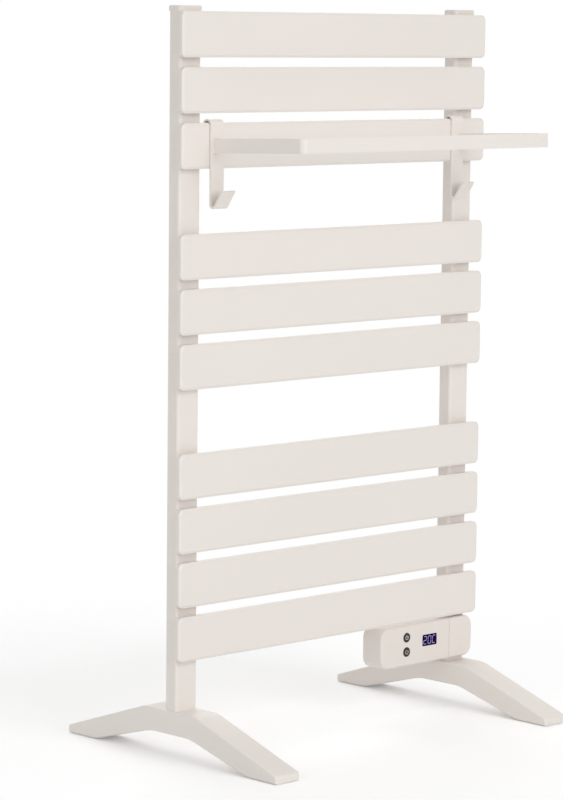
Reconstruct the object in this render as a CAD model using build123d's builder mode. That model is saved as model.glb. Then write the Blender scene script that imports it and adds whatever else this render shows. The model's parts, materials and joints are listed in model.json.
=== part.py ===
import os

from build123d import *

os.makedirs("parts", exist_ok=True)

# Free-standing heated towel rail. Millimetres, X to the right, Y to the rear, Z up.
# The origin is on the floor, midway between the feet and under the uprights.

# Slats
slat_length = 560.0
slat_height = 58.0
slat_depth = 10.0
slat_wall = 1.4
slat_corner = 8.0
slat_bevel_width = 3.2
slat_bevel_depth = 2.0
slat_rear_bevel = 2.0
slat_bore_corner = 2.0
slat_gap = 12.0
slat_slots = [0, 1, 2, 4, 5, 6, 8, 9, 10, 11]
rack_slot = slat_slots[2]
end_cap_length = 10.0
end_cap_plug = 8.0
plug_clearance = 0.15
heater_margin = 12.0
heater_height = 40.0
heater_thickness = 1.2

# Uprights and their caps
slat_overhang = 9.0
slat_standoff = 5.0
upright_width = 36.0
upright_depth = 22.0
upright_wall = 1.6
upright_corner = 4.0
cap_flange = 7.0
cap_overhang = 1.5
cap_plug = 12.0
cap_wall = 2.5
cap_edge = 1.2

# Spacers between slats and uprights
spacer_width = 18.0
spacer_corner = 3.0
spacer_hole = 12.0
spacer_clearance = 0.1
spacer_wall = 1.5
spacer_lip = 0.8

# Feet
foot_length = 400.0
foot_width = 42.0
foot_crown = 62.0
foot_crown_half = 48.0
foot_tip = 11.0
foot_sole = 55.0
foot_arch = 31.0
foot_arch_half = 38.0
foot_crown_bend = 45.0
foot_arch_bend = 80.0
foot_tip_corner = 3.5
foot_edge = 2.5
pad_length = 34.0
pad_width = 26.0
pad_corner = 6.0
pad_inset = 10.0
pad_thickness = 3.0
pad_proud = 1.0
pad_clearance = 0.3

# Insert and screws that hold a foot to its upright
insert_height = 28.0
insert_clearance = 0.2
insert_corner = 3.0
foot_screw_radius = 3.0
foot_screw_spacing = 16.0
foot_screw_reach = 20.0
foot_screw_head_radius = 5.5
foot_screw_head = 5.0
foot_screw_sink = 8.0
foot_screw_clearance = 0.3
screw_fit = 0.1
hex_socket = 5.0
hex_socket_depth = 3.0

# Control box
box_height = 57.0
box_corner = 15.0
box_edge = 3.5
box_rear_edge = 1.0
box_over_foot = 6.0
box_under_slat = 4.0
box_proud = 11.0
box_wall = 2.4
housing_length = 135.0
seam = 0.4
seam_bevel = 0.8
collar_wall = 5.0
collar_clearance = 0.3
cover_thickness = 2.7
post_radius = 3.4
post_shoulder = 4.8
post_inset_x = 16.0
post_inset_z = 13.0
post_pilot = 1.25
post_pilot_depth = 14.0
cover_screw_radius = 1.5
cover_screw_head_radius = 3.0
cover_screw_head = 1.6
cover_screw_reach = 9.0
cover_screw_clearance = 0.15

# Display and buttons
window_width = 28.5
window_height = 16.0
window_corner = 1.5
window_thickness = 1.6
window_fit = 0.15
window_rim = 1.5
window_rim_thickness = 1.0
window_from_seam = 40.0
window_rise = 3.2
button_radius = 6.5
button_clearance = 0.3
button_proud = 0.5
button_flange = 1.2
button_flange_thickness = 1.0
button_gap = 0.15
button_travel = 0.6
button_stem = 2.0
button_from_seam = 85.5
button_rise_upper = 11.5
button_rise_power = -8.5

# Electronics
board_thickness = 1.6
board_depth = 7.6
board_margin = 5.0
board_corner = 8.0
board_clearance = 0.3
switch_width = 6.0
switch_height = 4.0
module_margin = 1.5
relay_size = (19.0, 15.0, 15.0)
relay_from_seam = 52.0
power_size = (34.0, 16.0, 22.0)
power_from_seam = 97.0
terminal_size = (14.0, 15.0, 20.0)
terminal_from_seam = 17.0

# Wiring loom in the right upright
loom_radius = 2.5
loom_bend = 12.0
loom_hole_clearance = 0.7
loom_top = 20.0

# Cord gland
gland_bore = 3.6
gland_radius = 7.0
gland_neck = 5.0
gland_flange_radius = 8.0
gland_flange = 1.6
gland_reach = 12.0
gland_tip_radius = 5.4
gland_clearance = 0.15
gland_from_seam = 95.0
gland_drop = 14.0

# Towel rack
hanger_width = 22.5
hanger_thickness = 2.5
hanger_clearance = 0.3
hanger_side = 5.0
hanger_tab = 6.5
hanger_rise = 2.0
hanger_crest = 0.4
hook_drop = 108.5
hook_width = 9.0
hook_bend = 3.0
hook_lip_rise = 22.0
hook_lip_reach = 15.5
rack_width = 458.0
rack_bar_height = 18.5
rack_bar_thickness = 5.0
rack_bend = 8.0
rack_reach = 162.0
rack_drop = 20.0
rack_rise = 5.0
rod_radius = 6.0
rod_wall = 1.5
rod_setback = 32.0

# Places worked out from the sizes above
slat_pitch = slat_height + slat_gap
lowest_slat = foot_crown + box_over_foot + box_height + box_under_slat
slat_levels = [lowest_slat + slat_height / 2 + slat_pitch * (slat_slots[-1] - slot) for slot in slat_slots]
top_level = slat_levels[0] + slat_height / 2
upright_face = slat_length / 2 - slat_overhang
upright_x = upright_face - upright_width / 2
upright_front = -upright_depth / 2
slat_rear = upright_front - slat_standoff
slat_front = slat_rear - slat_depth
slat_middle = slat_rear - slat_depth / 2
tube_half = slat_length / 2 - end_cap_length
heater_length = 2 * (tube_half - end_cap_plug - heater_margin)


def facing_front(x, y, z):
    return Plane(origin=(x, y, z), x_dir=(1, 0, 0), z_dir=(0, -1, 0))


def facing_right(x, y, z):
    return Plane(origin=(x, y, z), x_dir=(0, 1, 0), z_dir=(1, 0, 0))


def write(part, name):
    part.label = name
    export_step(part, f"parts/{name}.step")


# One slat's closed outer form, at height zero
with BuildPart() as slat_form:
    with BuildSketch(facing_front(0, slat_rear, 0)):
        RectangleRounded(slat_length, slat_height, slat_corner)
    extrude(amount=slat_depth)
    slat_face = slat_form.faces().sort_by(Axis.Y)[0]
    chamfer(slat_face.edges(), slat_bevel_width, slat_bevel_depth, reference=slat_face)
    chamfer(slat_form.faces().sort_by(Axis.Y)[-1].edges(), slat_rear_bevel)


def slat_bore(clearance):
    with BuildSketch(facing_right(-tube_half, slat_middle, 0)) as bore:
        outline = Rectangle(
            slat_depth - 2 * (slat_wall + clearance),
            slat_height - 2 * (slat_wall + clearance),
        )
        chamfer(outline.vertices(), slat_bore_corner)
    return bore.sketch


# The hollow bar between the end caps, with a hole in its back over each upright
with BuildPart() as slat_tube:
    add(slat_form.part)
    with BuildSketch(facing_right(-tube_half, slat_middle, 0)):
        Rectangle(2 * slat_depth, 2 * slat_height)
    extrude(amount=2 * tube_half, mode=Mode.INTERSECT)
    extrude(slat_bore(0), amount=2 * tube_half, mode=Mode.SUBTRACT)
    with BuildSketch(facing_front(0, slat_rear, 0)):
        with Locations((-upright_x, 0), (upright_x, 0)):
            Rectangle(spacer_hole, spacer_hole)
    extrude(amount=slat_wall, mode=Mode.SUBTRACT)

# The right end cap, with a plug that enters the bar
with BuildPart() as end_cap:
    add(slat_form.part)
    with BuildSketch(facing_right(tube_half, slat_middle, 0)):
        Rectangle(2 * slat_depth, 2 * slat_height)
    extrude(amount=2 * end_cap_length, mode=Mode.INTERSECT)
    extrude(slat_bore(plug_clearance).moved(Location((2 * tube_half, 0, 0))), amount=-end_cap_plug)

# A flat heating strip against the inside of the slat's front
with BuildPart() as heater:
    with BuildSketch(facing_front(0, slat_front + slat_wall + heater_thickness, 0)):
        Rectangle(heater_length, heater_height)
    extrude(amount=heater_thickness)

for number, level in enumerate(slat_levels, start=1):
    write(slat_tube.part.moved(Location((0, 0, level))), f"slat_{number:02d}")
    write(heater.part.moved(Location((0, 0, level))), f"heater_{number:02d}")

with BuildPart() as slat_end_caps_right:
    with Locations([(0, 0, level) for level in slat_levels]):
        add(end_cap.part)
write(slat_end_caps_right.part, "slat_end_caps_right")
write(mirror(slat_end_caps_right.part, about=Plane.YZ), "slat_end_caps_left")

# Moulded spacers: a square collar behind the slat, with a hollow spigot into slat and upright
spacer_front = slat_rear - slat_wall - spacer_lip
spacer_length = upright_front + upright_wall + spacer_lip - spacer_front
spigot = spacer_hole - 2 * spacer_clearance

with BuildPart() as spacers_right:
    for level in slat_levels:
        with BuildSketch(facing_front(upright_x, upright_front, level)):
            collar = Rectangle(spacer_width, spacer_width)
            chamfer(collar.vertices(), spacer_corner)
        extrude(amount=slat_standoff)
        with BuildSketch(facing_front(upright_x, spacer_front, level)):
            Rectangle(spigot, spigot)
        extrude(amount=-spacer_length)
        with BuildSketch(facing_front(upright_x, spacer_front, level)):
            Rectangle(spigot - 2 * spacer_wall, spigot - 2 * spacer_wall)
        extrude(amount=-spacer_length, mode=Mode.SUBTRACT)
write(spacers_right.part, "slat_spacers_right")
write(mirror(spacers_right.part, about=Plane.YZ), "slat_spacers_left")

# Uprights: rectangular tubes with a hole behind each slat
box_bottom = foot_crown + box_over_foot
box_middle = box_bottom + box_height / 2
loom_y = upright_depth / 2 - upright_corner - loom_radius
loom_z = box_middle


def upright_tube(side):
    with BuildPart() as tube:
        with BuildSketch(Plane.XY.offset(foot_crown)):
            with Locations((side * upright_x, 0)):
                RectangleRounded(upright_width, upright_depth, upright_corner)
                RectangleRounded(
                    upright_width - 2 * upright_wall,
                    upright_depth - 2 * upright_wall,
                    upright_corner - upright_wall,
                    mode=Mode.SUBTRACT,
                )
        extrude(amount=top_level - foot_crown)
        for level in slat_levels:
            with BuildSketch(facing_front(side * upright_x, upright_front + upright_wall, level)):
                Rectangle(spacer_hole, spacer_hole)
            extrude(amount=upright_wall, mode=Mode.SUBTRACT)
        if side > 0:
            with BuildSketch(facing_right(upright_face - upright_width, loom_y, loom_z)):
                Circle(loom_radius + loom_hole_clearance)
            extrude(amount=upright_wall, mode=Mode.SUBTRACT)
    return tube.part


def upright_cap(side):
    with BuildPart() as cap:
        with BuildSketch(Plane.XY.offset(top_level)):
            with Locations((side * upright_x, 0)):
                RectangleRounded(
                    upright_width + 2 * cap_overhang,
                    upright_depth + 2 * cap_overhang,
                    upright_corner + cap_overhang,
                )
        extrude(amount=cap_flange)
        chamfer(cap.faces().sort_by(Axis.Z)[-1].edges(), cap_edge)
        with BuildSketch(Plane.XY.offset(top_level)):
            with Locations((side * upright_x, 0)):
                RectangleRounded(
                    upright_width - 2 * (upright_wall + plug_clearance),
                    upright_depth - 2 * (upright_wall + plug_clearance),
                    upright_corner - upright_wall,
                )
                Rectangle(
                    upright_width - 2 * (upright_wall + cap_wall),
                    upright_depth - 2 * (upright_wall + cap_wall),
                    mode=Mode.SUBTRACT,
                )
        extrude(amount=-cap_plug)
    return cap.part


# An insert in the lower end of the upright takes the foot's screws
def upright_insert(side):
    with BuildPart() as insert:
        with BuildSketch(Plane.XY.offset(foot_crown)):
            with Locations((side * upright_x, 0)):
                block = Rectangle(
                    upright_width - 2 * (upright_wall + insert_clearance),
                    upright_depth - 2 * (upright_wall + insert_clearance),
                )
            chamfer(block.vertices(), insert_corner)
        extrude(amount=insert_height)
        with BuildSketch(Plane.XY.offset(foot_crown)):
            with Locations((side * upright_x, 0)):
                with GridLocations(foot_screw_spacing, 1, 2, 1):
                    Circle(foot_screw_radius)
        extrude(amount=foot_screw_reach + foot_screw_clearance, mode=Mode.SUBTRACT)
    return insert.part


# An arched foot: flat crown under the upright, straight sloping legs, blunt tips
def foot(side):
    half = foot_length / 2
    sole = half - foot_sole
    with BuildPart() as body:
        with BuildSketch(facing_right(side * upright_x, 0, 0)):
            with BuildLine():
                FilletPolyline(
                    (-half, pad_proud),
                    (-sole, pad_proud),
                    (-foot_arch_half, foot_arch),
                    (foot_arch_half, foot_arch),
                    (sole, pad_proud),
                    (half, pad_proud),
                    (half, foot_tip),
                    (foot_crown_half, foot_crown),
                    (-foot_crown_half, foot_crown),
                    (-half, foot_tip),
                    radius=[
                        0, foot_arch_bend, foot_arch_bend, foot_arch_bend, foot_arch_bend,
                        0, foot_tip_corner, foot_crown_bend, foot_crown_bend, foot_tip_corner,
                    ],
                    close=True,
                )
            make_face()
        extrude(amount=foot_width / 2, both=True)
        fillet(body.faces().filter_by(Axis.X).edges(), foot_edge)
        with BuildSketch(Plane.XY.offset(foot_arch)):
            with Locations((side * upright_x, 0)):
                with GridLocations(foot_screw_spacing, 1, 2, 1):
                    Circle(foot_screw_head_radius + foot_screw_clearance)
        extrude(amount=foot_screw_sink, mode=Mode.SUBTRACT)
        with BuildSketch(Plane.XY.offset(foot_arch)):
            with Locations((side * upright_x, 0)):
                with GridLocations(foot_screw_spacing, 1, 2, 1):
                    Circle(foot_screw_radius + foot_screw_clearance)
        extrude(amount=foot_crown - foot_arch, mode=Mode.SUBTRACT)
        with BuildSketch(Plane.XY.offset(pad_proud)):
            with Locations((side * upright_x, 0)):
                with GridLocations(1, foot_length - 2 * pad_inset - pad_length, 1, 2):
                    RectangleRounded(
                        pad_width + 2 * pad_clearance,
                        pad_length + 2 * pad_clearance,
                        pad_corner + pad_clearance,
                    )
        extrude(amount=pad_thickness - pad_proud, mode=Mode.SUBTRACT)
    return body.part


for side, name in ((-1, "left"), (1, "right")):
    write(upright_tube(side), f"upright_{name}")
    write(upright_cap(side), f"upright_cap_{name}")
    write(upright_insert(side), f"upright_insert_{name}")
    write(foot(side), f"foot_{name}")

with BuildPart() as foot_pads:
    with BuildSketch():
        with GridLocations(2 * upright_x, foot_length - 2 * pad_inset - pad_length, 2, 2):
            RectangleRounded(pad_width, pad_length, pad_corner)
    extrude(amount=pad_thickness)
write(foot_pads.part, "foot_pads")

# Socket screws from under the arch into the inserts
with BuildPart() as foot_screws:
    for side in (-1, 1):
        with Locations((side * upright_x, 0, foot_arch + foot_screw_sink)):
            with GridLocations(foot_screw_spacing, 1, 2, 1):
                Cylinder(
                    foot_screw_head_radius,
                    foot_screw_head,
                    align=(Align.CENTER, Align.CENTER, Align.MAX),
                )
                Cylinder(
                    foot_screw_radius - screw_fit,
                    foot_crown - foot_arch - foot_screw_sink + foot_screw_reach,
                    align=(Align.CENTER, Align.CENTER, Align.MIN),
                )
        with BuildSketch(Plane.XY.offset(foot_arch + foot_screw_sink - foot_screw_head)):
            with Locations((side * upright_x, 0)):
                with GridLocations(foot_screw_spacing, 1, 2, 1):
                    RegularPolygon(hex_socket / 2, 6, major_radius=False)
        extrude(amount=hex_socket_depth, mode=Mode.SUBTRACT)
write(foot_screws.part, "foot_screws")

# Control box: one outer form, parted by the seam into housing and collar
box_front = upright_front - box_proud
cover_front = upright_depth / 2 + collar_clearance
box_rear = cover_front + cover_thickness
box_right = upright_face + collar_wall
seam_x = upright_face - upright_width - collar_wall
box_left = seam_x - housing_length
box_length = box_right - box_left
inner_front = box_front + box_wall
inner_right = seam_x - seam / 2 - box_wall
pocket_length = inner_right - box_left - box_wall
pocket_x = (inner_right + box_left + box_wall) / 2
post_x = (box_left + post_inset_x, inner_right - post_inset_x + box_wall)
post_z = (box_bottom + post_inset_z, box_bottom + box_height - post_inset_z)
post_places = [(x, z) for x in post_x for z in post_z]
window_x = seam_x - window_from_seam
window_z = box_middle + window_rise
button_x = seam_x - button_from_seam
button_z = {"upper": box_middle + button_rise_upper, "power": box_middle + button_rise_power}
board_front = box_front + box_wall + board_depth
board_rear = board_front + board_thickness

with BuildPart() as box_form:
    with BuildSketch(facing_front((box_left + box_right) / 2, box_rear, box_middle)):
        RectangleRounded(box_length, box_height, box_corner)
    extrude(amount=box_rear - box_front)
    fillet(box_form.faces().sort_by(Axis.Y)[0].edges(), box_edge)
    chamfer(box_form.faces().sort_by(Axis.Y)[-1].edges(), box_rear_edge)

with BuildPart() as control_housing:
    add(box_form.part)
    with BuildSketch(facing_front(box_left, cover_front, box_middle)):
        with Locations(((housing_length - seam / 2) / 2, 0)):
            Rectangle(housing_length - seam / 2, 2 * box_height)
    extrude(amount=2 * box_height, mode=Mode.INTERSECT)
    housing_end = control_housing.faces().sort_by(Axis.X)[-1]
    chamfer(housing_end.edges().sort_by(Axis.Y)[:-1], seam_bevel)
    with BuildSketch(facing_front((box_left + box_right) / 2, cover_front, box_middle)):
        RectangleRounded(
            box_length - 2 * box_wall,
            box_height - 2 * box_wall,
            box_corner - box_wall,
        )
        with Locations((inner_right + box_height - (box_left + box_right) / 2, 0)):
            Rectangle(2 * box_height, 2 * box_height, mode=Mode.SUBTRACT)
    extrude(amount=cover_front - inner_front, mode=Mode.SUBTRACT)
    with BuildSketch(facing_front(0, inner_front, 0)):
        with Locations(*post_places):
            Circle(post_shoulder)
    extrude(amount=-board_depth)
    with BuildSketch(facing_front(0, inner_front, 0)):
        with Locations(*post_places):
            Circle(post_radius)
    extrude(amount=-(cover_front - inner_front))
    with BuildSketch(facing_front(0, cover_front, 0)):
        with Locations(*post_places):
            Circle(post_pilot)
    extrude(amount=post_pilot_depth, mode=Mode.SUBTRACT)
    with BuildSketch(facing_front(window_x, inner_front, window_z)):
        RectangleRounded(
            window_width + 2 * window_fit,
            window_height + 2 * window_fit,
            window_corner + window_fit,
        )
    extrude(amount=box_wall, mode=Mode.SUBTRACT)
    with BuildSketch(facing_front(button_x, inner_front, 0)):
        with Locations(*[(0, z) for z in button_z.values()]):
            Circle(button_radius + button_clearance)
    extrude(amount=box_wall, mode=Mode.SUBTRACT)
    with BuildSketch(facing_right(inner_right, loom_y, loom_z)):
        Circle(loom_radius + loom_hole_clearance)
    extrude(amount=box_wall, mode=Mode.SUBTRACT)
write(control_housing.part, "control_housing")

with BuildPart() as control_collar:
    add(box_form.part)
    with BuildSketch(facing_front(box_right, box_rear, box_middle)):
        with Locations((-(box_right - seam_x - seam / 2) / 2, 0)):
            Rectangle(box_right - seam_x - seam / 2, 2 * box_height)
    extrude(amount=2 * box_height, mode=Mode.INTERSECT)
    chamfer(control_collar.faces().sort_by(Axis.X)[0].edges(), seam_bevel)
    with BuildSketch(Plane.XY.offset(box_bottom)):
        with Locations((upright_x, 0)):
            RectangleRounded(
                upright_width + 2 * collar_clearance,
                upright_depth + 2 * collar_clearance,
                upright_corner + collar_clearance,
            )
    extrude(amount=box_height, mode=Mode.SUBTRACT)
    with BuildSketch(facing_right(seam_x, loom_y, loom_z)):
        Circle(loom_radius + loom_hole_clearance)
    extrude(amount=collar_wall, mode=Mode.SUBTRACT)
write(control_collar.part, "control_collar")

gland_x = seam_x - gland_from_seam
gland_z = box_middle - gland_drop

with BuildPart() as rear_cover:
    add(box_form.part)
    with BuildSketch(facing_front(box_left, box_rear, box_middle)):
        with Locations(((housing_length - seam / 2) / 2, 0)):
            Rectangle(housing_length - seam / 2, 2 * box_height)
    extrude(amount=cover_thickness, mode=Mode.INTERSECT)
    cover_end = rear_cover.faces().sort_by(Axis.X)[-1]
    chamfer(cover_end.edges().sort_by(Axis.Y)[1:], seam_bevel)
    with BuildSketch(facing_front(0, box_rear, 0)):
        with Locations(*post_places):
            Circle(cover_screw_radius + cover_screw_clearance)
        with Locations((gland_x, gland_z)):
            Circle(gland_neck + gland_clearance)
    extrude(amount=cover_thickness, mode=Mode.SUBTRACT)
    with BuildSketch(facing_front(0, box_rear, 0)):
        with Locations(*post_places):
            Circle(cover_screw_head_radius + cover_screw_clearance)
    extrude(amount=cover_screw_head, mode=Mode.SUBTRACT)
write(rear_cover.part, "rear_cover")

with BuildPart() as cover_screws:
    with BuildSketch(facing_front(0, box_rear, 0)):
        with Locations(*post_places):
            Circle(cover_screw_head_radius)
    extrude(amount=cover_screw_head)
    with BuildSketch(facing_front(0, box_rear, 0)):
        with Locations(*post_places):
            Circle(post_pilot - screw_fit)
    extrude(amount=cover_thickness + cover_screw_reach)
write(cover_screws.part, "cover_screws")

# Cord gland: a flange inside the rear cover and a tapered sleeve outside
with BuildPart() as cord_gland:
    with BuildSketch(Plane(origin=(gland_x, 0, gland_z), x_dir=(1, 0, 0), z_dir=(0, 0, 1))):
        with BuildLine():
            Polyline(
                (gland_bore, cover_front - gland_flange),
                (gland_flange_radius, cover_front - gland_flange),
                (gland_flange_radius, cover_front),
                (gland_neck, cover_front),
                (gland_neck, box_rear),
                (gland_radius, box_rear),
                (gland_tip_radius, box_rear + gland_reach),
                (gland_bore, box_rear + gland_reach),
                close=True,
            )
        make_face()
    revolve(axis=Axis((gland_x, 0, gland_z), (0, 1, 0)))
write(cord_gland.part, "cord_gland")

with BuildPart() as display_window:
    with BuildSketch(facing_front(window_x, box_front + window_thickness, window_z)):
        RectangleRounded(window_width, window_height, window_corner)
    extrude(amount=window_thickness)
    with BuildSketch(facing_front(window_x, inner_front + window_rim_thickness, window_z)):
        RectangleRounded(
            window_width + 2 * window_rim,
            window_height + 2 * window_rim,
            window_corner + window_rim,
        )
    extrude(amount=window_rim_thickness)
    with BuildSketch(facing_front(window_x, inner_front, window_z)):
        RectangleRounded(window_width, window_height, window_corner)
    extrude(amount=box_wall - window_thickness)
write(display_window.part, "display_window")

with BuildPart() as display_module:
    with BuildSketch(facing_front(window_x, board_front, window_z)):
        Rectangle(window_width + 2 * module_margin, window_height + 2 * module_margin)
    extrude(amount=board_front - inner_front - window_rim_thickness)
write(display_module.part, "display_module")

with BuildPart() as circuit_board:
    with BuildSketch(facing_front(pocket_x, board_rear, box_middle)):
        board = Rectangle(
            pocket_length - 2 * board_margin,
            box_height - 2 * box_wall - 2 * board_margin,
        )
        chamfer(board.vertices(), board_corner)
    extrude(amount=board_thickness)
    with BuildSketch(facing_front(0, board_rear, 0)):
        with Locations(*post_places):
            Circle(post_radius + board_clearance)
    extrude(amount=board_thickness, mode=Mode.SUBTRACT)
write(circuit_board.part, "circuit_board")

with BuildPart() as push_switches:
    with BuildSketch(facing_front(button_x, board_front, 0)):
        with Locations(*[(0, z) for z in button_z.values()]):
            Rectangle(switch_width, switch_width)
    extrude(amount=switch_height)
write(push_switches.part, "push_switches")


def board_block(size, from_seam, z):
    with BuildPart() as block:
        with BuildSketch(facing_front(seam_x - from_seam, board_rear, z)):
            Rectangle(size[0], size[2])
        extrude(amount=-size[1])
    return block.part


write(board_block(relay_size, relay_from_seam, box_middle), "relay")
write(board_block(power_size, power_from_seam, box_middle), "power_module")
write(board_block(terminal_size, terminal_from_seam, loom_z), "terminal_block")

# Push buttons: a cap in the housing's hole, a flange behind it and a stem to its switch
for name, z in button_z.items():
    with BuildPart() as button:
        with BuildSketch(facing_front(button_x, inner_front + button_gap, z)):
            Circle(button_radius)
        extrude(amount=box_wall + button_gap + button_proud)
        chamfer(button.faces().sort_by(Axis.Y)[0].edges(), button_proud / 2)
        with BuildSketch(facing_front(button_x, inner_front + button_gap, z)):
            Circle(button_radius + button_flange)
        extrude(amount=-button_flange_thickness)
        with BuildSketch(facing_front(button_x, inner_front + button_gap, z)):
            Circle(button_stem)
        extrude(amount=-(board_depth - switch_height - button_travel - 2 * button_gap))
    write(button.part, f"button_{name}")

# Wiring loom down the right upright and into the box
loom_end = seam_x - terminal_from_seam + terminal_size[0] / 2
with BuildPart() as wiring_loom:
    with BuildLine() as loom_path:
        FilletPolyline(
            (upright_x, loom_y, top_level - loom_top),
            (upright_x, loom_y, loom_z),
            (loom_end, loom_y, loom_z),
            radius=loom_bend,
        )
    with BuildSketch(Plane.XY.offset(top_level - loom_top)):
        with Locations((upright_x, loom_y)):
            Circle(loom_radius)
    sweep()
write(wiring_loom.part, "wiring_loom")

# Hangers: flat strip hooked over the slat, straight down its front and into an open J
rack_slat_top = slat_levels[slat_slots.index(rack_slot)] + slat_height / 2
hanger_rear = slat_rear + hanger_clearance
hanger_inner = slat_front - hanger_clearance
hanger_top = rack_slat_top + hanger_rise
hanger_arch = (hanger_rear - hanger_inner - hanger_crest) / 2
hanger_front = hanger_inner - hanger_thickness
hook_bottom = rack_slat_top - hook_drop
hanger_x = rack_width / 2 + hanger_side - hanger_width / 2


def hanger(side):
    with BuildPart() as strip:
        with BuildSketch(facing_right(side * hanger_x, 0, 0)):
            with BuildLine():
                FilletPolyline(
                    (hanger_rear, rack_slat_top - hanger_tab),
                    (hanger_rear, hanger_top),
                    (hanger_inner, hanger_top),
                    (hanger_inner, hook_bottom),
                    (hanger_inner - hook_width, hook_bottom),
                    (hanger_inner - hook_width - hook_lip_reach, hook_bottom + hook_lip_rise),
                    radius=[
                        hanger_arch,
                        hanger_arch,
                        hook_bend + hanger_thickness,
                        hook_bend + hanger_thickness,
                    ],
                )
                offset(amount=hanger_thickness, side=Side.RIGHT)
            make_face()
        extrude(amount=hanger_width / 2, both=True)
    return strip.part


write(hanger(-1), "hanger_left")
write(hanger(1), "hanger_right")

# The U of flat bar stands on edge in front of the hangers and climbs a little towards its front
rack_level = rack_slat_top - rack_drop - rack_bar_height / 2
rack_slope = Plane(origin=(0, hanger_front, rack_level), x_dir=(1, 0, 0), z_dir=(0, rack_rise, rack_reach))
with BuildPart() as rack_frame:
    with BuildSketch(rack_slope):
        with BuildLine():
            FilletPolyline(
                (-rack_width / 2, rack_bar_height),
                (-rack_width / 2, -rack_reach),
                (rack_width / 2, -rack_reach),
                (rack_width / 2, rack_bar_height),
                radius=rack_bend,
            )
            offset(amount=rack_bar_thickness, side=Side.LEFT)
        make_face()
    extrude(amount=rack_bar_height / 2, both=True)
    with BuildSketch(facing_front(0, hanger_front, rack_level)):
        Rectangle(2 * rack_width, 2 * rack_reach)
    extrude(amount=2 * rack_reach, mode=Mode.INTERSECT)
write(rack_frame.part, "rack_frame")

# The rod that the towel hangs on, a tube between the arms
rod_place = rack_slope.from_local_coords((0, rod_setback - rack_reach, 0))
with BuildPart() as rack_rod:
    with BuildSketch(facing_right(0, rod_place.Y, rod_place.Z)):
        Circle(rod_radius)
        Circle(rod_radius - rod_wall, mode=Mode.SUBTRACT)
    extrude(amount=rack_width / 2 - rack_bar_thickness, both=True)
write(rack_rod.part, "rack_rod")
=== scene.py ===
import json
import math

import bmesh
import bpy
from mathutils import Matrix, Vector


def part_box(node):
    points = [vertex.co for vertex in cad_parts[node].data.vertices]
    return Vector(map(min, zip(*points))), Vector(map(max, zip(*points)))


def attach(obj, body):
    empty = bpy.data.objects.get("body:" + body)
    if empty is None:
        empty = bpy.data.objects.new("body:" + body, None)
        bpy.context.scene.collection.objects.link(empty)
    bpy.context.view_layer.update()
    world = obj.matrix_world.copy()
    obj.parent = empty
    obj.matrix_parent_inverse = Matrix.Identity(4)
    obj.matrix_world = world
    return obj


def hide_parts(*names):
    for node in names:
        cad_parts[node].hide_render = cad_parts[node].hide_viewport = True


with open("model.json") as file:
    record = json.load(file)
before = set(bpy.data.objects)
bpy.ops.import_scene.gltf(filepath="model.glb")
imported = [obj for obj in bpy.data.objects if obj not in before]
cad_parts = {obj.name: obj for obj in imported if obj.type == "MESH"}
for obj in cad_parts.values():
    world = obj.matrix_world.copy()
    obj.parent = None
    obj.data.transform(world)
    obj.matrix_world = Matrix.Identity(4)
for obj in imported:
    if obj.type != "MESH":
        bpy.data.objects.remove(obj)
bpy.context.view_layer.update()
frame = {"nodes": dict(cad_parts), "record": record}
nodes = frame["nodes"]
mm = 0.001
print("rail: frame loaded,", len(nodes), "CAD nodes")

# Camera, in front of the rail and to its left, nearly as high as its top

cameraLook = {
    "place": (-2.9508, -2.9761, 0.9345), "yaw": 43.99, "pitch": 6.67, "roll": 0.59,
    "lens": 142.43, "farthest": 60,
}


def makeCamera(look):
    yaw, pitch, roll = (math.radians(look[k]) for k in ("yaw", "pitch", "roll"))
    ahead = Vector((math.sin(yaw) * math.cos(pitch), math.cos(yaw) * math.cos(pitch), -math.sin(pitch)))
    level = Vector((math.cos(yaw), -math.sin(yaw), 0))
    upright = level.cross(ahead)
    right = math.cos(roll) * level + math.sin(roll) * upright
    above = math.cos(roll) * upright - math.sin(roll) * level
    camera = bpy.data.objects.new("camera", bpy.data.cameras.new("camera"))
    bpy.context.scene.collection.objects.link(camera)
    camera.matrix_world = Matrix((
        (right.x, above.x, -ahead.x, look["place"][0]),
        (right.y, above.y, -ahead.y, look["place"][1]),
        (right.z, above.z, -ahead.z, look["place"][2]),
        (0, 0, 0, 1),
    ))
    camera.data.lens = look["lens"]
    camera.data.clip_end = look["farthest"]
    bpy.context.scene.camera = camera


makeCamera(cameraLook)
bpy.context.scene.view_settings.view_transform = "Standard"

# Short ways to build nodes, for materials and for geometry alike


def newTree(kind, name, inputs, outputs):
    # A node group; an input is a label, a type and, where it has one, its first value
    tree = bpy.data.node_groups.new(name, kind)
    for label, sort, *value in inputs:
        socket = tree.interface.new_socket(name=label, in_out="INPUT", socket_type="NodeSocket" + sort)
        if value:
            socket.default_value = value[0]
    for label, sort in outputs:
        tree.interface.new_socket(name=label, in_out="OUTPUT", socket_type="NodeSocket" + sort)
    return tree, tree.nodes.new("NodeGroupInput").outputs, tree.nodes.new("NodeGroupOutput").inputs


def addNode(tree, kind, wires=(), **settings):
    # An input, by name or number, takes a plain value or another node's output
    node = tree.nodes.new(kind)
    for label, value in settings.items():
        setattr(node, label, value)
    for label, value in wires:
        if isinstance(value, bpy.types.NodeSocket):
            tree.links.new(value, node.inputs[label])
        else:
            node.inputs[label].default_value = value
    return node


def addMath(tree, operation, first, second):
    return addNode(tree, "ShaderNodeMath", [(0, first), (1, second)], operation=operation).outputs[0]


def addNoise(tree, place, scale, detail, roughness=0.5):
    return addNode(tree, "ShaderNodeTexNoise", [
        ("Vector", place), ("Scale", scale), ("Detail", detail), ("Roughness", roughness),
    ]).outputs["Fac"]


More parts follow.
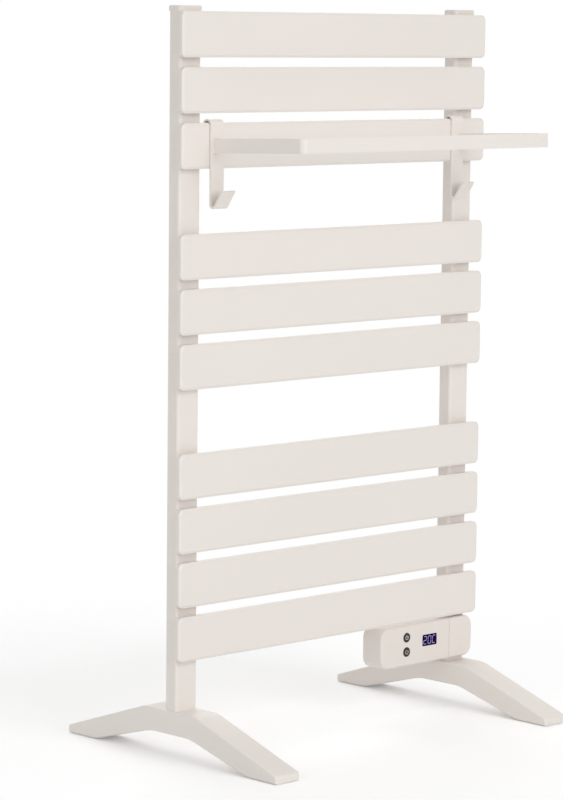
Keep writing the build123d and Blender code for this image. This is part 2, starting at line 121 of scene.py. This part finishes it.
def addRange(tree, value, low, high, newLow=0.0, newHigh=1.0):
    return addNode(tree, "ShaderNodeMapRange", [
        ("Value", value), ("From Min", low), ("From Max", high), ("To Min", newLow), ("To Max", newHigh),
    ]).outputs["Result"]


def addMix(tree, mask, first, second):
    # Inputs 6 and 7 and output 2 are the Mix node's colours; its names stand for other types too
    first, second = ((*c, 1) if isinstance(c, tuple) else c for c in (first, second))
    wires = [("Factor", mask), (6, first), (7, second)]
    return addNode(tree, "ShaderNodeMix", wires, data_type="RGBA").outputs[2]


# Studio: soft panels, a pale world and a floor that fades into white

plainWhite = (1, 1, 1, 1)
studio = {
    "skyLevel": 0.50,
    "floorColour": (0.95, 0.95, 0.95, 1),
    "floorRadius": 2.4,
    "floorCorners": 64,
    "floorLift": 0.195,  # glow added where the floor is seen, so that its shadow stays pale
    "fadeStart": 0.35,
    "fadeEnd": 1.2,
    "panels": {
        "frontPanel": {"place": (-0.3, -3.9, 1.9), "aim": (0, 0, 0.5), "size": 2.4, "watts": 64},
        "topPanel": {"place": (0.1, -0.6, 3.4), "aim": (0, 0, 0.4), "size": 2.6, "watts": 6},
        "leftPanel": {"place": (-3.7, -0.7, 1.2), "aim": (0, 0, 0.5), "size": 2.6, "watts": 24},
        "backPanel": {"place": (1.8, 3.0, 2.6), "aim": (0.2, 0, 0.2), "size": 2.8, "watts": 44},
    },
}


def backgroundRays(tree):
    # 1 where the background is seen, straight or in metal and glass, and 0 where it only lights
    path = addNode(tree, "ShaderNodeLightPath").outputs
    seen = addMath(tree, "MAXIMUM", path["Is Camera Ray"], path["Is Glossy Ray"])
    return addMath(tree, "MAXIMUM", seen, path["Is Transmission Ray"])


def makeWorld(look):
    world = bpy.data.worlds.new("paleStudio")
    bpy.context.scene.world = world
    world.use_nodes = True
    tree = world.node_tree
    tree.nodes.clear()
    sky = addNode(tree, "ShaderNodeBackground", [("Color", plainWhite), ("Strength", look["skyLevel"])])
    backdrop = addNode(tree, "ShaderNodeBackground", [("Color", plainWhite), ("Strength", 1)])
    blend = addNode(tree, "ShaderNodeMixShader", [
        (0, backgroundRays(tree)), (1, sky.outputs[0]), (2, backdrop.outputs[0]),
    ])
    addNode(tree, "ShaderNodeOutputWorld", [("Surface", blend.outputs[0])])


def makePanels(look):
    for name, panel in look["panels"].items():
        lamp = bpy.data.lights.new(name, "AREA")
        lamp.shape = "SQUARE"
        lamp.size = panel["size"]
        lamp.energy = panel["watts"]
        holder = bpy.data.objects.new(name, lamp)
        bpy.context.scene.collection.objects.link(holder)
        holder.location = panel["place"]
        aim = Vector(panel["aim"]) - Vector(panel["place"])
        holder.rotation_euler = aim.to_track_quat("-Z", "Y").to_euler()


def makeFloor(look):
    reach, corners = look["floorRadius"], look["floorCorners"]
    turns = [2 * math.pi * k / corners for k in range(corners)]
    mesh = bpy.data.meshes.new("floor")
    mesh.from_pydata([(reach * math.cos(a), reach * math.sin(a), 0) for a in turns], [], [range(corners)])
    floor = bpy.data.objects.new("floor", mesh)
    bpy.context.scene.collection.objects.link(floor)
    paint = bpy.data.materials.new("floorSweep")
    paint.use_nodes = True
    tree = paint.node_tree
    tree.nodes.clear()
    rays = backgroundRays(tree)
    matt = addNode(tree, "ShaderNodeBsdfDiffuse", [("Color", look["floorColour"])])
    glowLevel = addMath(tree, "MULTIPLY", rays, look["floorLift"])
    glow = addNode(tree, "ShaderNodeEmission", [("Strength", glowLevel)])
    lifted = addNode(tree, "ShaderNodeAddShader", [(0, matt.outputs[0]), (1, glow.outputs[0])])
    backdrop = addNode(tree, "ShaderNodeEmission", [("Color", plainWhite), ("Strength", 1)])
    place = addNode(tree, "ShaderNodeTexCoord").outputs["Object"]
    distance = addNode(tree, "ShaderNodeVectorMath", [(0, place)], operation="LENGTH")
    fade = addNode(tree, "ShaderNodeMapRange", [
        ("Value", distance.outputs["Value"]), ("From Min", look["fadeStart"]), ("From Max", look["fadeEnd"]),
    ], interpolation_type="SMOOTHSTEP")
    blend = addNode(tree, "ShaderNodeMixShader", [
        (0, addMath(tree, "MULTIPLY", fade.outputs["Result"], rays)),
        (1, lifted.outputs[0]), (2, backdrop.outputs[0]),
    ])
    addNode(tree, "ShaderNodeOutputMaterial", [("Surface", blend.outputs[0])])
    mesh.materials.append(paint)


makeWorld(studio)
makePanels(studio)
makeFloor(studio)
print("rail: camera and studio ready")

# Surface effects that several finishes share

noiseSpan = (0.3, 0.7)  # where most of a noise texture's values lie
grainSpan = (0.35, 0.65)  # narrower, for more contrast in the gloss of mouldings
powderRelief = {"fine": 0.45, "coarse": 0.55, "coarseScale": 0.22, "speckScale": 0.6, "raggedness": 0.55}
mouldSheenScale = 0.5  # scale of the changes in gloss, as a share of the grain's scale
drawnRaggedness = 0.6


def makePowderGroup(look):
    # Powder coat: slow changes of tone, fine orange peel and sparse specks where the powder settled
    group, given, result = newTree("ShaderNodeTree", "powderCoat", [
        ("Place", "Vector"),
        ("Cloud Scale", "Float", 5.0),
        ("Peel Scale", "Float", 700.0),
        ("Peel Depth", "Float", 1.0),
        ("Speck Share", "Float", 0.12),
        ("Low Roughness", "Float", 0.38),
        ("High Roughness", "Float", 0.5),
    ], [("Tone", "Float"), ("Specks", "Float"), ("Roughness", "Float"), ("Height", "Float")])
    place, peelScale = given["Place"], given["Peel Scale"]
    cloud = addNoise(group, place, given["Cloud Scale"], detail=3)
    peel = addNoise(group, place, peelScale, detail=2, roughness=look["raggedness"])
    coarse = addNoise(group, place, addMath(group, "MULTIPLY", peelScale, look["coarseScale"]), detail=2)
    cells = addNode(group, "ShaderNodeTexVoronoi", [
        ("Vector", place), ("Scale", addMath(group, "MULTIPLY", peelScale, look["speckScale"])),
    ])
    specks = addRange(group, cells.outputs["Distance"], 0.0, given["Speck Share"], 1.0, 0.0)
    fine = addMath(group, "MULTIPLY", peel, look["fine"])
    relief = addMath(group, "ADD", fine, addMath(group, "MULTIPLY", coarse, look["coarse"]))
    rough = addRange(group, coarse, *noiseSpan, given["Low Roughness"], given["High Roughness"])
    group.links.new(addRange(group, cloud, *noiseSpan), result["Tone"])
    group.links.new(specks, result["Specks"])
    group.links.new(rough, result["Roughness"])
    group.links.new(addMath(group, "MULTIPLY", relief, given["Peel Depth"]), result["Height"])
    return group


def makeMouldGroup(sheenScale):
    # Moulded plastic or rubber: spark-eroded grain with faint flow tone
    group, given, result = newTree("ShaderNodeTree", "mouldGrain", [
        ("Place", "Vector"),
        ("Grain Scale", "Float", 1600.0),
        ("Grain Depth", "Float", 1.0),
        ("Flow Scale", "Float", 14.0),
        ("Low Roughness", "Float", 0.45),
        ("High Roughness", "Float", 0.6),
    ], [("Tone", "Float"), ("Roughness", "Float"), ("Height", "Float")])
    place, grainScale = given["Place"], given["Grain Scale"]
    cells = addNode(group, "ShaderNodeTexVoronoi", [
        ("Vector", place), ("Scale", grainScale),
    ], feature="SMOOTH_F1")
    flow = addNoise(group, place, given["Flow Scale"], detail=4)
    sheen = addNoise(group, place, addMath(group, "MULTIPLY", grainScale, sheenScale), detail=2)
    rough = addRange(group, sheen, *grainSpan, given["Low Roughness"], given["High Roughness"])
    height = addMath(group, "MULTIPLY", cells.outputs["Distance"], given["Grain Depth"])
    group.links.new(addRange(group, flow, *noiseSpan), result["Tone"])
    group.links.new(rough, result["Roughness"])
    group.links.new(height, result["Height"])
    return group


def makeDrawnGroup(raggedness):
    # Bare or plated metal: fine lines, which Stretch draws out along an axis where it is below 1
    group, given, result = newTree("ShaderNodeTree", "drawnLines", [
        ("Place", "Vector"),
        ("Stretch", "Vector", (1, 1, 1)),
        ("Line Scale", "Float", 900.0),
        ("Line Depth", "Float", 1.0),
        ("Cloud Scale", "Float", 60.0),
        ("Low Roughness", "Float", 0.25),
        ("High Roughness", "Float", 0.45),
    ], [("Tone", "Float"), ("Roughness", "Float"), ("Height", "Float")])
    squeezed = addNode(group, "ShaderNodeVectorMath", [
        (0, given["Place"]), (1, given["Stretch"]),
    ], operation="MULTIPLY")
    lines = addNoise(group, squeezed.outputs[0], given["Line Scale"], detail=3, roughness=raggedness)
    cloud = addNoise(group, given["Place"], given["Cloud Scale"], detail=2)
    rough = addRange(group, lines, *noiseSpan, given["Low Roughness"], given["High Roughness"])
    group.links.new(addRange(group, cloud, *noiseSpan), result["Tone"])
    group.links.new(rough, result["Roughness"])
    group.links.new(addMath(group, "MULTIPLY", lines, given["Line Depth"]), result["Height"])
    return group


powderGroup = makePowderGroup(powderRelief)
mouldGroup = makeMouldGroup(mouldSheenScale)
drawnGroup = makeDrawnGroup(drawnRaggedness)
finishes = {}


def newFinish(name, group, values, look, specular=0.5, metallic=0.0):
    # A material whose group gives tone, roughness and height; the tone runs from dark to light
    finish = bpy.data.materials.new(name)
    finish.use_nodes = True
    tree = finish.node_tree
    shader = tree.nodes["Principled BSDF"].inputs
    shader["Specular IOR Level"].default_value = specular
    shader["Metallic"].default_value = metallic
    place = addNode(tree, "ShaderNodeTexCoord").outputs["Object"]
    effect = tree.nodes.new("ShaderNodeGroup")
    effect.node_tree = group
    tree.links.new(place, effect.inputs["Place"])
    values = {**values, "Low Roughness": look["rough"][0], "High Roughness": look["rough"][1]}
    for label, value in values.items():
        effect.inputs[label].default_value = value
    bump = addNode(tree, "ShaderNodeBump", [
        ("Distance", look["bump"]), ("Strength", 1), ("Height", effect.outputs["Height"]),
    ])
    tree.links.new(bump.outputs["Normal"], shader["Normal"])
    tree.links.new(effect.outputs["Roughness"], shader["Roughness"])
    tree.links.new(addMix(tree, effect.outputs["Tone"], look["dark"], look["light"]), shader["Base Color"])
    finishes[name] = finish
    return tree, shader, effect.outputs


# Cream powder coat on the aluminium, the castings and the steel

creamCoat = {
    "dark": (0.808, 0.758, 0.711), "light": (0.825, 0.775, 0.728), "bump": 0.06 * mm,
    "speck": (0.76, 0.705, 0.655), "speckStrength": 0.35,
}
coatSettings = {
    "coatedAluminium": {"cloud": 4.0, "peel": 620.0, "depth": 1.0, "specks": 0.10, "rough": (0.40, 0.52)},
    "coatedCasting": {"cloud": 9.0, "peel": 420.0, "depth": 1.8, "specks": 0.12, "rough": (0.44, 0.58)},
    "coatedSteel": {"cloud": 7.0, "peel": 620.0, "depth": 1.0, "specks": 0.10, "rough": (0.38, 0.50)},
}


def makeCoat(name, look):
    # The specks lie over the coat's own colour
    values = {
        "Cloud Scale": look["cloud"], "Peel Scale": look["peel"],
        "Peel Depth": look["depth"], "Speck Share": look["specks"],
    }
    tree, shader, effect = newFinish(name, powderGroup, values, look)
    plain = shader["Base Color"].links[0].from_socket
    mask = addMath(tree, "MULTIPLY", effect["Specks"], look["speckStrength"])
    tree.links.new(addMix(tree, mask, plain, look["speck"]), shader["Base Color"])


for name, settings in coatSettings.items():
    makeCoat(name, {**creamCoat, **settings})

# Moulded plastics and rubbers, the dark acrylic over the display and its lit figures

displayDark = {"dark": (0.004, 0.0005, 0.030), "light": (0.007, 0.001, 0.045), "bump": 0.01 * mm}
mouldSettings = {
    "creamPlastic": {
        "dark": (0.79, 0.735, 0.685), "light": (0.805, 0.75, 0.70),
        "grain": 1500.0, "depth": 0.9, "rough": (0.42, 0.55),
    },
    "glandPlastic": {
        "dark": (0.77, 0.72, 0.67), "light": (0.79, 0.74, 0.69),
        "grain": 1300.0, "depth": 1.0, "rough": (0.45, 0.6),
    },
    "padRubber": {
        "dark": (0.42, 0.405, 0.375), "light": (0.5, 0.485, 0.45),
        "grain": 900.0, "depth": 2.2, "rough": (0.7, 0.85),
    },
    "buttonPlastic": {
        "dark": (0.036, 0.030, 0.025), "light": (0.044, 0.037, 0.031),
        "grain": 1900.0, "depth": 0.9, "rough": (0.5, 0.62), "gloss": 0.2,
    },
    "modulePlastic": {
        "dark": (0.025, 0.025, 0.03), "light": (0.035, 0.035, 0.04),
        "grain": 1400.0, "depth": 0.8, "rough": (0.4, 0.55),
    },
    "heatingSilicone": {
        "dark": (0.32, 0.07, 0.05), "light": (0.4, 0.1, 0.07),
        "grain": 700.0, "depth": 2.0, "rough": (0.6, 0.75),
    },
    "boardLaminate": {
        "dark": (0.02, 0.14, 0.05), "light": (0.03, 0.18, 0.07),
        "grain": 1100.0, "depth": 0.5, "rough": (0.22, 0.34),
    },
    "loomSleeve": {
        "dark": (0.03, 0.03, 0.03), "light": (0.06, 0.06, 0.06),
        "grain": 1000.0, "depth": 3.0, "rough": (0.6, 0.75),
    },
    "markPaint": {
        "dark": (0.62, 0.60, 0.575), "light": (0.68, 0.66, 0.635),
        "grain": 2200.0, "depth": 0.4, "rough": (0.5, 0.6),
    },
    "windowAcrylic": {**displayDark, "grain": 500.0, "depth": 0.1, "rough": (0.08, 0.13), "gloss": 0.03},
    "litSegments": {
        **displayDark, "grain": 900.0, "depth": 0.2, "rough": (0.3, 0.4), "gloss": 0.05,
        "lit": (0.46, 0.37, 0.76), "dimmest": 0.85, "strength": 1.0,
    },
}
mouldBasics = {"bump": 0.04 * mm, "gloss": 0.45}


def makeMoulded(name, look):
    values = {"Grain Scale": look["grain"], "Grain Depth": look["depth"]}
    tree, shader, effect = newFinish(name, mouldGroup, values, look, look["gloss"])
    if "lit" in look:  # it glows by itself, a little unevenly
        dim = tuple(look["dimmest"] * c for c in look["lit"])
        tree.links.new(addMix(tree, effect["Tone"], dim, look["lit"]), shader["Emission Color"])
        shader["Emission Strength"].default_value = look["strength"]


for name, settings in mouldSettings.items():
    makeMoulded(name, {**mouldBasics, **settings})

# Bare aluminium of the inserts in the uprights, zinc on the screws

metalSettings = {
    "bareAluminium": {
        "dark": (0.66, 0.66, 0.67), "light": (0.76, 0.76, 0.77),
        "stretch": (1, 1, 0.04), "rough": (0.3, 0.45), "bump": 0.02 * mm,
    },
    "screwSteel": {
        "dark": (0.5, 0.5, 0.49), "light": (0.62, 0.61, 0.59),
        "stretch": (1, 1, 1), "rough": (0.24, 0.4), "bump": 0.02 * mm,
    },
}
for name, look in metalSettings.items():
    newFinish(name, drawnGroup, {"Stretch": look["stretch"]}, look, metallic=1.0)


def finishOfSlot(slotName):
    # The record's coated_steel is coatedSteel here
    first, *rest = slotName.split("_")
    return finishes[first + "".join(word.capitalize() for word in rest)]


for part in frame["record"]["subparts"]:
    node = nodes[part["node"]]
    if not node.material_slots:
        node.data.materials.append(None)
    for slot in node.material_slots:
        slot.material = finishOfSlot(part["material_slot"])
print("rail: finishes on", len(nodes), "nodes")

# Short ways to make a piece and its flat shapes


def newPiece(name, mesh, finish, body):
    piece = bpy.data.objects.new(name, mesh)
    bpy.context.scene.collection.objects.link(piece)
    mesh.materials.clear()
    mesh.materials.append(finishes[finish])
    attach(piece, body)
    return piece


def closedPlate(outline, front, depth):
    # A flat plate standing in XZ, its front at y = front
    bm = bmesh.new()
    near = [bm.verts.new((x, front, z)) for x, z in outline]
    far = [bm.verts.new((x, front + depth, z)) for x, z in outline]
    bm.faces.new(near)
    bm.faces.new(list(reversed(far)))
    count = len(outline)
    for k in range(count):
        bm.faces.new((near[k], far[k], far[(k + 1) % count], near[(k + 1) % count]))
    bmesh.ops.recalc_face_normals(bm, faces=bm.faces)
    return bm


def ringPlate(outer, inner, front, depth, closed=True):
    # A band between two outlines with the same number of points
    bm = bmesh.new()
    rows = []
    for line, y in ((outer, front), (inner, front), (inner, front + depth), (outer, front + depth)):
        rows.append([bm.verts.new((x, y, z)) for x, z in line])
    count = len(outer)
    for k in range(count if closed else count - 1):
        following = (k + 1) % count
        for row, other in zip(rows, rows[1:] + rows[:1]):
            bm.faces.new((row[k], row[following], other[following], other[k]))
    if not closed:
        bm.faces.new([row[0] for row in rows])
        bm.faces.new([row[-1] for row in reversed(rows)])
    bmesh.ops.recalc_face_normals(bm, faces=bm.faces)
    return bm


def joined(parts, name):
    whole = bmesh.new()
    for bm in parts:
        loose = bpy.data.meshes.new("loose")
        bm.to_mesh(loose)
        bm.free()
        whole.from_mesh(loose)
        bpy.data.meshes.remove(loose)
    mesh = bpy.data.meshes.new(name)
    whole.to_mesh(mesh)
    whole.free()
    return mesh


def arcOutline(centreX, centreZ, radius, start, end, steps):
    turns = [math.radians(start + (end - start) * k / steps) for k in range(steps + 1)]
    return [(centreX + radius * math.cos(a), centreZ + radius * math.sin(a)) for a in turns]


def roundedOutline(centreX, centreZ, width, height, corner, steps=6):
    points = []
    for quarter, (sx, sz) in enumerate(((1, 1), (-1, 1), (-1, -1), (1, -1))):
        x, z = centreX + sx * (width / 2 - corner), centreZ + sz * (height / 2 - corner)
        points += arcOutline(x, z, corner, 90 * quarter, 90 * quarter + 90, steps)
    return points


def middleOf(node):
    # A node's middle in X and Z, and the Y of its front
    low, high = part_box(node)
    return (low.x + high.x) / 2, (low.z + high.z) / 2, low.y


# Lit figures on the display, seven segments each

figures = {
    "text": "20C", "height": 10.4 * mm, "width": 5.6 * mm, "pitch": 8.7 * mm, "stroke": 0.95 * mm,
    "lean": 0.10, "gap": 0.18 * mm, "proud": 0.04 * mm, "sunk": 0.06 * mm,
}
segmentsOf = {"2": "abged", "0": "abcdef", "C": "adef"}


def segmentOutline(x0, z0, x1, z1, half):
    # A six-sided bar between two points, level or upright, half its stroke to each side
    if abs(x1 - x0) > abs(z1 - z0):
        return [
            (x0, z0), (x0 + half, z0 - half), (x1 - half, z0 - half),
            (x1, z0), (x1 - half, z0 + half), (x0 + half, z0 + half),
        ]
    return [
        (x0, z0), (x0 + half, z0 + half), (x0 + half, z1 - half),
        (x0, z1), (x0 - half, z1 - half), (x0 - half, z0 + half),
    ]


def makeFigures(look):
    middleX, middleZ, front = middleOf("display_window")
    right, top, gap = look["width"] / 2, look["height"] / 2, look["gap"]
    bars = {  # level ones from the top down, then upright ones from the top left
        "a": (gap - right, top, right - gap, top),
        "g": (gap - right, 0, right - gap, 0),
        "d": (gap - right, -top, right - gap, -top),
        "f": (-right, gap, -right, top - gap),
        "b": (right, gap, right, top - gap),
        "e": (-right, gap - top, -right, -gap),
        "c": (right, gap - top, right, -gap),
    }
    parts = []
    for k, letter in enumerate(look["text"]):
        shift = (k - (len(look["text"]) - 1) / 2) * look["pitch"]
        for segment in segmentsOf[letter]:
            outline = segmentOutline(*bars[segment], look["stroke"] / 2)
            placed = [(middleX + shift + x + look["lean"] * z, middleZ + z) for x, z in outline]
            parts.append(closedPlate(placed, front - look["proud"], look["proud"] + look["sunk"]))
    newPiece("display_figures", joined(parts, "display_figures"), "litSegments", "stand")


makeFigures(figures)

# Thin raised rim round the display's window

rimSizes = {
    "width": 28.5 * mm, "height": 16 * mm, "corner": 1.5 * mm, "band": 0.7 * mm,
    "proud": 0.12 * mm, "sunk": 0.1 * mm,
}


def makeDisplayRim(rim):
    x, z, front = middleOf("display_window")
    width, height, corner, band = rim["width"], rim["height"], rim["corner"], rim["band"]
    inner = roundedOutline(x, z, width, height, corner)
    outer = roundedOutline(x, z, width + 2 * band, height + 2 * band, corner + band)
    bm = ringPlate(outer, inner, front - rim["proud"], rim["proud"] + rim["sunk"])
    newPiece("display_rim", joined([bm], "display_rim"), "creamPlastic", "stand")


makeDisplayRim(rimSizes)

# Printed marks on the two buttons

markLook = {
    "stroke": 0.75 * mm, "reach": 2.7 * mm, "proud": 0.05 * mm, "sunk": 0.05 * mm, "arcStep": 9,
    "ringStart": 130, "ringEnd": 410,  # degrees, anticlockwise from the right; the gap is at the top
    "stemFoot": 0.1 * mm, "stemOver": 0.3 * mm,
    "longHand": 0.68, "shortHand": 0.42,  # shares of the reach
}


def ringArc(x, z, start, end, look, face, depth):
    # Part of a ring, in degrees, or a closed ring where it goes all the way round
    steps = round((end - start) / look["arcStep"])
    closed = end - start >= 360
    last = end - 360 / steps if closed else end
    steps -= 1 if closed else 0
    half = look["stroke"] / 2
    outer, inner = (arcOutline(x, z, look["reach"] + side, start, last, steps) for side in (half, -half))
    return ringPlate(outer, inner, face, depth, closed=closed)


def bar(x, z, width, height, face, depth):
    return closedPlate([(x, z), (x + width, z), (x + width, z + height), (x, z + height)], face, depth)


def makePowerMark(look):
    x, z, front = middleOf("button_power")
    stroke, reach = look["stroke"], look["reach"]
    face, depth = front - look["proud"], look["proud"] + look["sunk"]
    parts = [
        ringArc(x, z, look["ringStart"], look["ringEnd"], look, face, depth),
        bar(x - stroke / 2, z + look["stemFoot"], stroke, reach + look["stemOver"], face, depth),
    ]
    newPiece("power_mark", joined(parts, "power_mark"), "markPaint", "power_button")


def makeTimerMark(look):
    # A clock face with its two hands
    x, z, front = middleOf("button_upper")
    stroke, reach = look["stroke"], look["reach"]
    face, depth = front - look["proud"], look["proud"] + look["sunk"]
    parts = [
        ringArc(x, z, 0, 360, look, face, depth),
        bar(x - stroke / 2, z - stroke / 2, stroke, reach * look["longHand"], face, depth),
        bar(x + stroke / 2, z - stroke / 2, reach * look["shortHand"], stroke, face, depth),
    ]
    newPiece("timer_mark", joined(parts, "timer_mark"), "markPaint", "upper_button")


makePowerMark(markLook)
makeTimerMark(markLook)
print("rail: display and marks made")

# What repeats is grown by a node tree from bare points or lines


def newGrowth(name, inputs):
    inputs = [("Geometry", "Geometry"), *inputs, ("Finish", "Material")]
    return newTree("GeometryNodeTree", name, inputs, [("Geometry", "Geometry")])


def endGrowth(tree, geometry, material, result):
    solid = addNode(tree, "GeometryNodeRealizeInstances", [("Geometry", geometry)])
    painted = addNode(tree, "GeometryNodeSetMaterial", [
        ("Geometry", solid.outputs["Geometry"]), ("Material", material),
    ])
    tree.links.new(painted.outputs["Geometry"], result["Geometry"])


def shifted(tree, geometry, distance):
    # The geometry moved along Z
    move = addNode(tree, "ShaderNodeCombineXYZ", [("Z", distance)])
    return addNode(tree, "GeometryNodeTransform", [
        ("Geometry", geometry), ("Translation", move.outputs[0]),
    ]).outputs["Geometry"]


def grown(name, points, edges, tree, values, finish, body):
    # Runs a tree on points or lines and keeps the result as a plain mesh
    values = {**values, "Finish": finishes[finish]}
    seed = bpy.data.meshes.new(name + "_seed")
    seed.from_pydata(points, edges, [])
    holder = bpy.data.objects.new(name + "_seed", seed)
    bpy.context.scene.collection.objects.link(holder)
    modifier = holder.modifiers.new("grow", "NODES")
    modifier.node_group = tree
    for socket in tree.interface.items_tree:
        if socket.in_out == "INPUT" and socket.name in values:
            modifier[socket.identifier] = values[socket.name]
    bpy.context.view_layer.update()
    shown = holder.evaluated_get(bpy.context.evaluated_depsgraph_get())
    mesh = bpy.data.meshes.new_from_object(shown)
    mesh.name = name
    holder.modifiers.clear()
    bpy.data.objects.remove(holder)
    return newPiece(name, mesh, finish, body)


# Screws of the control box's rear cover

coverScrews = {
    "headRadius": 3.0 * mm, "headHeight": 1.6 * mm, "headTaper": 0.82, "crossReach": 1.15,
    "crossWidth": 1.0 * mm, "shankRadius": 1.15 * mm, "shankLength": 10.5 * mm,
    "headSides": 28, "shankSides": 16,
}


def makeScrewTree(look):
    # A tapered head with a cross recess on a plain shank, its axis along Y, one on each point
    tree, given, result = newGrowth("crossHeadScrews", [
        ("Head Radius", "Float"), ("Head Height", "Float"), ("Head Taper", "Float"),
        ("Cross Reach", "Float"), ("Cross Width", "Float"),
        ("Shank Radius", "Float"), ("Shank Length", "Float"),
    ])
    radius, height, width = given["Head Radius"], given["Head Height"], given["Cross Width"]
    head = addNode(tree, "GeometryNodeMeshCone", [
        ("Vertices", look["headSides"]), ("Radius Bottom", radius), ("Depth", height),
        ("Radius Top", addMath(tree, "MULTIPLY", radius, given["Head Taper"])),
    ])
    span = addMath(tree, "MULTIPLY", radius, given["Cross Reach"])
    cut = addNode(tree, "GeometryNodeMeshBoolean", [(0, head.outputs["Mesh"])], operation="DIFFERENCE")
    for across, along in ((span, width), (width, span)):
        size = addNode(tree, "ShaderNodeCombineXYZ", [("X", across), ("Y", along), ("Z", height)])
        arm = addNode(tree, "GeometryNodeMeshCube", [("Size", size.outputs[0])])
        tree.links.new(shifted(tree, arm.outputs["Mesh"], height), cut.inputs[1])
    length = given["Shank Length"]
    shank = addNode(tree, "GeometryNodeMeshCylinder", [
        ("Vertices", look["shankSides"]), ("Radius", given["Shank Radius"]), ("Depth", length),
    ])
    halfDown = addMath(tree, "MULTIPLY", length, -0.5)
    sunk = shifted(tree, shank.outputs["Mesh"], halfDown)
    screw = addNode(tree, "GeometryNodeJoinGeometry", [(0, cut.outputs["Mesh"])])
    tree.links.new(sunk, screw.inputs[0])
    placed = addNode(tree, "GeometryNodeInstanceOnPoints", [
        ("Points", given["Geometry"]), ("Instance", screw.outputs[0]), ("Rotation", (-math.pi / 2, 0, 0)),
    ])
    endGrowth(tree, placed.outputs["Instances"], given["Finish"], result)
    return tree


def makeCoverScrews(look):
    low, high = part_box("cover_screws")
    inset, headMiddle = look["headRadius"], high.y - look["headHeight"] / 2
    points = [
        (x, headMiddle, z)
        for x in (low.x + inset, high.x - inset) for z in (low.z + inset, high.z - inset)
    ]
    piece = grown("cover_screw_set", points, [], makeScrewTree(look), {
        "Head Radius": look["headRadius"], "Head Height": look["headHeight"],
        "Head Taper": look["headTaper"],
        "Cross Reach": look["crossReach"], "Cross Width": look["crossWidth"],
        "Shank Radius": look["shankRadius"], "Shank Length": look["shankLength"],
    }, "screwSteel", "stand")
    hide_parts("cover_screws")


makeCoverScrews(coverScrews)

# Weld beads of the rack: round both ends of the rod, and where the arms meet the hangers

weldBead = {
    "radius": 0.9 * mm, "step": 0.9 * mm, "ripple": 0.5 * mm, "rippleScale": 700.0,
    "sides": 8, "pointsRoundRod": 24,
    "barThickness": 5.0 * mm,  # of the rack's flat bar
    "endTolerance": 0.01 * mm,  # a corner this near the arms' ends counts as on them
}


def makeBeadTree(look):
    # A round bead along each line, with the ripple that a weld leaves
    tree, given, result = newGrowth("weldBeads", [
        ("Bead Radius", "Float"), ("Step", "Float"), ("Ripple", "Float"), ("Ripple Scale", "Float"),
    ])
    line = addNode(tree, "GeometryNodeMeshToCurve", [("Mesh", given["Geometry"])])
    even = addNode(tree, "GeometryNodeResampleCurve", [
        ("Curve", line.outputs["Curve"]), ("Length", given["Step"]),
    ], mode="LENGTH")
    ring = addNode(tree, "GeometryNodeCurvePrimitiveCircle", [
        ("Resolution", look["sides"]), ("Radius", given["Bead Radius"]),
    ])
    tube = addNode(tree, "GeometryNodeCurveToMesh", [
        ("Curve", even.outputs["Curve"]), ("Profile Curve", ring.outputs["Curve"]),
    ])
    noise = addNode(tree, "ShaderNodeTexNoise", [("Scale", given["Ripple Scale"]), ("Detail", 1.0)])
    inAndOut = addMath(tree, "SUBTRACT", noise.outputs["Fac"], 0.5)  # the noise runs from 0 to 1
    push = addMath(tree, "MULTIPLY", inAndOut, given["Ripple"])
    normal = addNode(tree, "GeometryNodeInputNormal")
    shift = addNode(tree, "ShaderNodeVectorMath", [
        (0, normal.outputs["Normal"]), ("Scale", push),
    ], operation="SCALE")
    moved = addNode(tree, "GeometryNodeSetPosition", [
        ("Geometry", tube.outputs["Mesh"]), ("Offset", shift.outputs[0]),
    ])
    smooth = addNode(tree, "GeometryNodeSetShadeSmooth", [("Geometry", moved.outputs["Geometry"])])
    endGrowth(tree, smooth.outputs[0], given["Finish"], result)
    return tree


def makeWelds(look):
    rodLow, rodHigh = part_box("rack_rod")
    frameLow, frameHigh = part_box("rack_frame")
    middleY, middleZ = (rodLow.y + rodHigh.y) / 2, (rodLow.z + rodHigh.z) / 2
    radius, rear, thick = (rodHigh.y - rodLow.y) / 2, frameHigh.y, look["barThickness"]
    circle = arcOutline(middleY, middleZ, radius, 0, 360, look["pointsRoundRod"])[:-1]
    loops = [[(x, y, z) for y, z in circle] for x in (rodLow.x, rodHigh.x)]
    corners = nodes["rack_frame"].data.vertices
    armEnds = [v.co.z for v in corners if v.co.y > rear - look["endTolerance"]]
    bottom, top = min(armEnds), max(armEnds)
    for outer, inner in ((frameLow.x, frameLow.x + thick), (frameHigh.x, frameHigh.x - thick)):
        loops.append([(outer, rear, bottom), (inner, rear, bottom), (inner, rear, top), (outer, rear, top)])
    points, edges = [], []
    for loop in loops:
        start, count = len(points), len(loop)
        points += loop
        edges += [(start + k, start + (k + 1) % count) for k in range(count)]
    grown("rack_welds", points, edges, makeBeadTree(look), {
        "Bead Radius": look["radius"], "Step": look["step"],
        "Ripple": look["ripple"], "Ripple Scale": look["rippleScale"],
    }, "coatedSteel", "rack")


makeWelds(weldBead)
print("rail: screws and welds grown")
